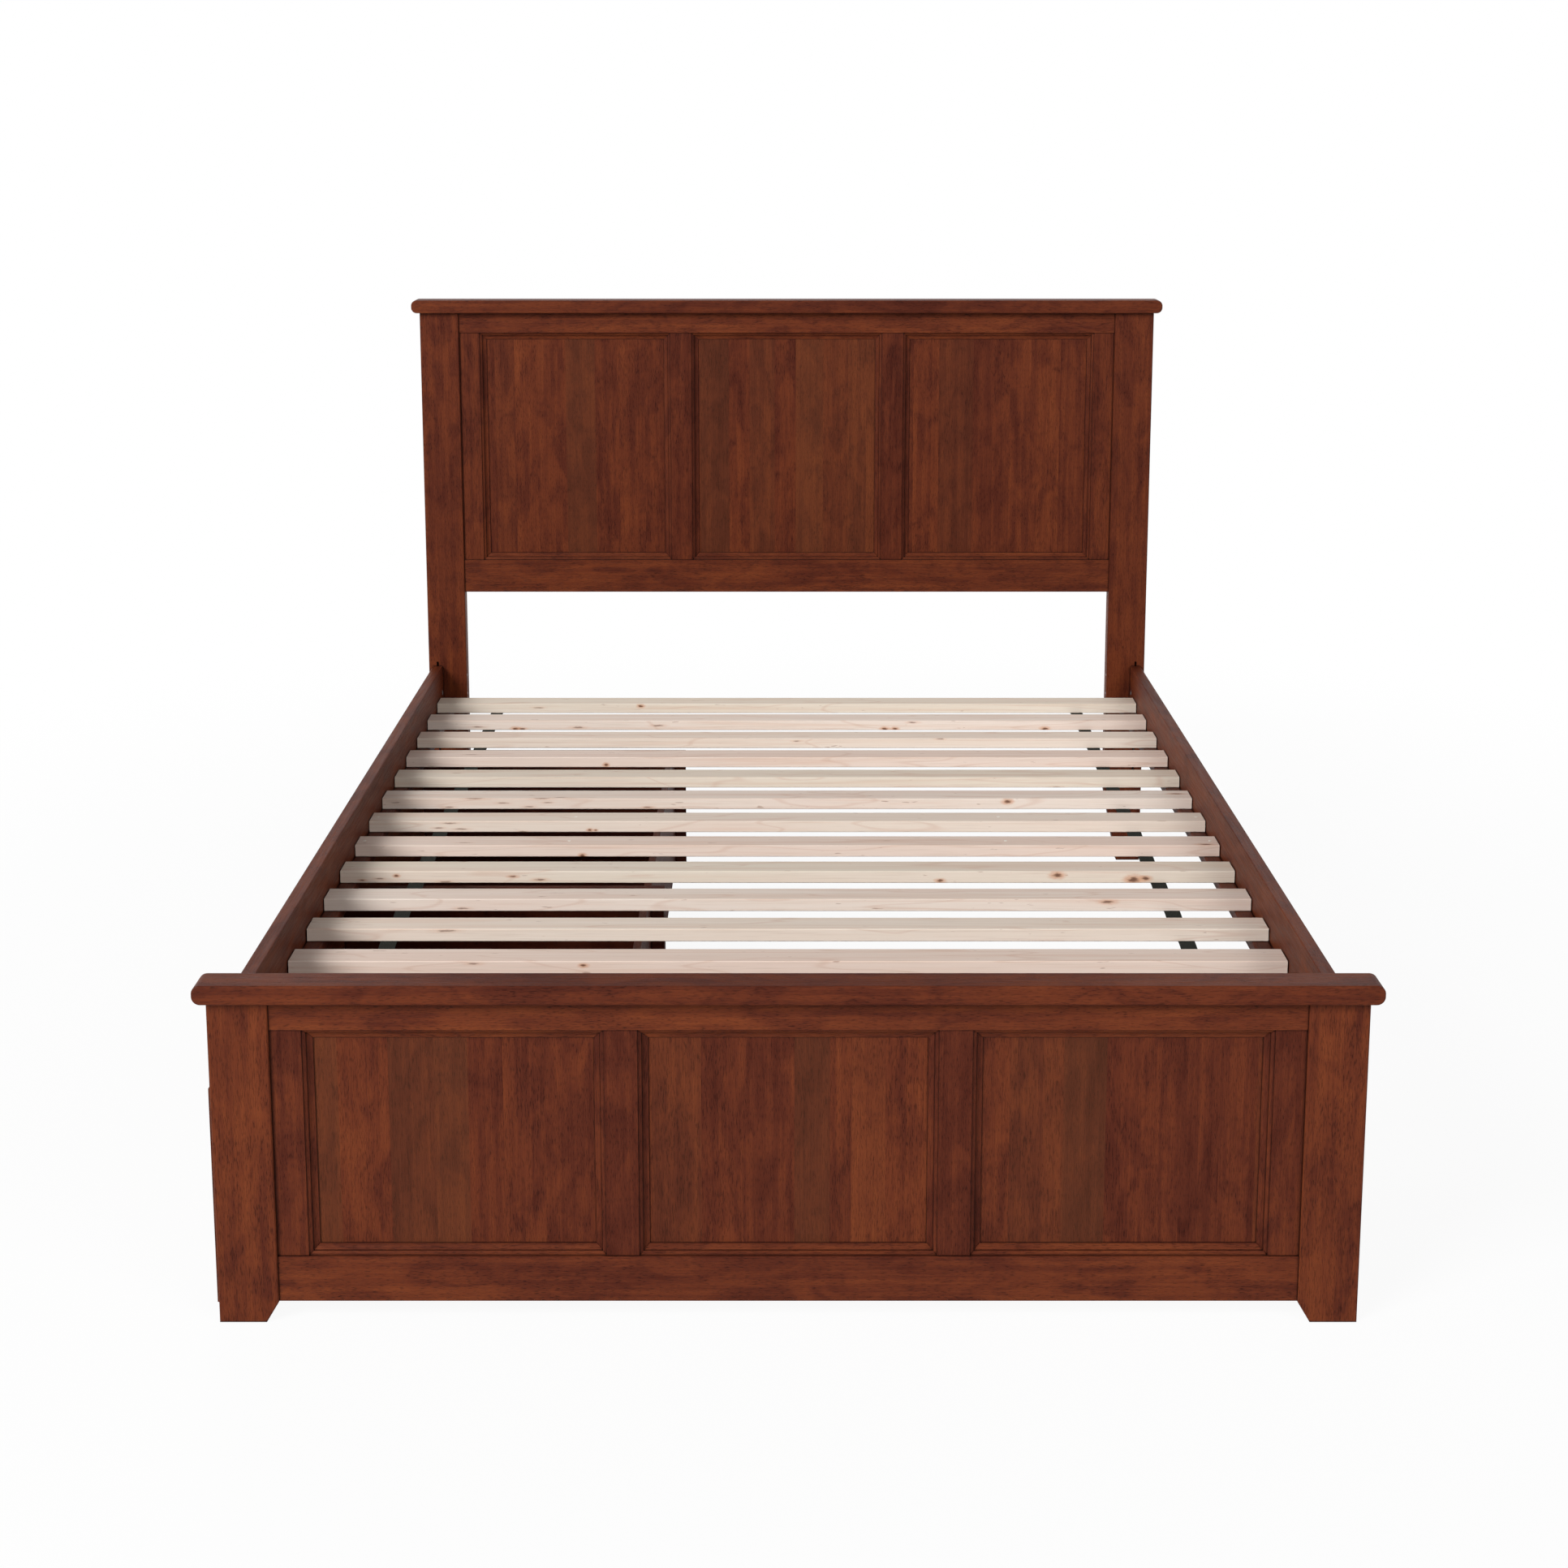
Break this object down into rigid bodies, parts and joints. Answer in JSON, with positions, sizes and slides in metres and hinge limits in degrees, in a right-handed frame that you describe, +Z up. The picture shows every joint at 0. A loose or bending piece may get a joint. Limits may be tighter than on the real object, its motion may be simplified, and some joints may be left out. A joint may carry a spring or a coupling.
{
  "type": "storage platform bed",
  "caption": "Stained wood storage bed with panelled head and foot boards, side rails hooked to the posts, a slatted deck and drawers on casters under one side.",
  "frame": {"origin": "on the floor, at the middle of the bed's box", "axes": "+X to the right of somebody at the foot, +Y towards the headboard, +Z up"},
  "size_m": [1.632, 2.125, 1.27],
  "materials": {
    "frame_wood": "satin red-brown stain on solid hardwood",
    "panel_wood": "satin red-brown stain, upright grain, glued from staves",
    "slat_wood": "bare planed softwood with small knots",
    "drawer_wood": "satin red-brown stain",
    "webbing": "dark grey woven webbing",
    "hook_steel": "zinc plated steel",
    "caster_housing": "black moulded plastic",
    "caster_wheel": "dark grey nylon"
  },
  "bodies": {
    "bed_frame": {"footboard_bottom_rail": "frame_wood", "footboard_cap": "frame_wood", "footboard_centre_panel": "panel_wood", "footboard_left_leg": "frame_wood", "footboard_left_mullion": "frame_wood", "footboard_left_panel": "panel_wood", "footboard_left_stile": "frame_wood", "footboard_right_leg": "frame_wood", "footboard_right_mullion": "frame_wood", "footboard_right_panel": "panel_wood", "footboard_right_stile": "frame_wood", "footboard_top_rail": "frame_wood", "headboard_bottom_rail": "frame_wood", "headboard_cap": "frame_wood", "headboard_centre_panel": "panel_wood", "headboard_left_mullion": "frame_wood", "headboard_left_panel": "panel_wood", "headboard_left_post": "frame_wood", "headboard_left_stile": "frame_wood", "headboard_right_mullion": "frame_wood", "headboard_right_panel": "panel_wood", "headboard_right_post": "frame_wood", "headboard_right_stile": "frame_wood", "headboard_top_rail": "frame_wood", "left_side_rail": "frame_wood", "left_slat_ledge": "frame_wood", "rail_hook_hardware": "hook_steel", "right_side_rail": "frame_wood", "right_slat_ledge": "frame_wood", "slat_01": "slat_wood", "slat_02": "slat_wood", "slat_03": "slat_wood", "slat_04": "slat_wood", "slat_05": "slat_wood", "slat_06": "slat_wood", "slat_07": "slat_wood", "slat_08": "slat_wood", "slat_09": "slat_wood", "slat_10": "slat_wood", "slat_11": "slat_wood", "slat_12": "slat_wood", "slat_13": "slat_wood", "slat_14": "slat_wood", "slat_straps": "webbing"},
    "foot_drawer": {"foot_drawer_back": "drawer_wood", "foot_drawer_bottom": "drawer_wood", "foot_drawer_caster_housings": "caster_housing", "foot_drawer_far_side": "drawer_wood", "foot_drawer_front": "frame_wood", "foot_drawer_near_side": "drawer_wood"},
    "foot_drawer_front_wheels": {"foot_drawer_front_wheels": "caster_wheel"},
    "foot_drawer_rear_wheels": {"foot_drawer_rear_wheels": "caster_wheel"},
    "head_drawer": {"head_drawer_back": "drawer_wood", "head_drawer_bottom": "drawer_wood", "head_drawer_caster_housings": "caster_housing", "head_drawer_far_side": "drawer_wood", "head_drawer_front": "frame_wood", "head_drawer_near_side": "drawer_wood"},
    "head_drawer_front_wheels": {"head_drawer_front_wheels": "caster_wheel"},
    "head_drawer_rear_wheels": {"head_drawer_rear_wheels": "caster_wheel"}
  },
  "joints": [
    {"name": "foot_drawer_slide", "type": "slide", "parent": "bed_frame", "child": "foot_drawer", "axis": [-1, 0, 0], "range_m": [0, 0.55]},
    {"name": "foot_drawer_front_wheels_roll", "type": "hinge", "parent": "foot_drawer", "child": "foot_drawer_front_wheels", "pos_m": [-0.7424, -0.5395, 0.02], "axis": [0, -1, 0], "continuous": true},
    {"name": "foot_drawer_rear_wheels_roll", "type": "hinge", "parent": "foot_drawer", "child": "foot_drawer_rear_wheels", "pos_m": [-0.2954, -0.5395, 0.02], "axis": [0, -1, 0], "continuous": true},
    {"name": "head_drawer_slide", "type": "slide", "parent": "bed_frame", "child": "head_drawer", "axis": [-1, 0, 0], "range_m": [0, 0.55]},
    {"name": "head_drawer_front_wheels_roll", "type": "hinge", "parent": "head_drawer", "child": "head_drawer_front_wheels", "pos_m": [-0.7424, 0.4045, 0.02], "axis": [0, -1, 0], "continuous": true},
    {"name": "head_drawer_rear_wheels_roll", "type": "hinge", "parent": "head_drawer", "child": "head_drawer_rear_wheels", "pos_m": [-0.2954, 0.4045, 0.02], "axis": [0, -1, 0], "continuous": true}
  ],
  "couplings": [
    {"joint": "foot_drawer_front_wheels_roll", "follows": "foot_drawer_slide", "rad_per_m": 50},
    {"joint": "foot_drawer_rear_wheels_roll", "follows": "foot_drawer_slide", "rad_per_m": 50},
    {"joint": "head_drawer_front_wheels_roll", "follows": "head_drawer_slide", "rad_per_m": 50},
    {"joint": "head_drawer_rear_wheels_roll", "follows": "head_drawer_slide", "rad_per_m": 50}
  ]
}
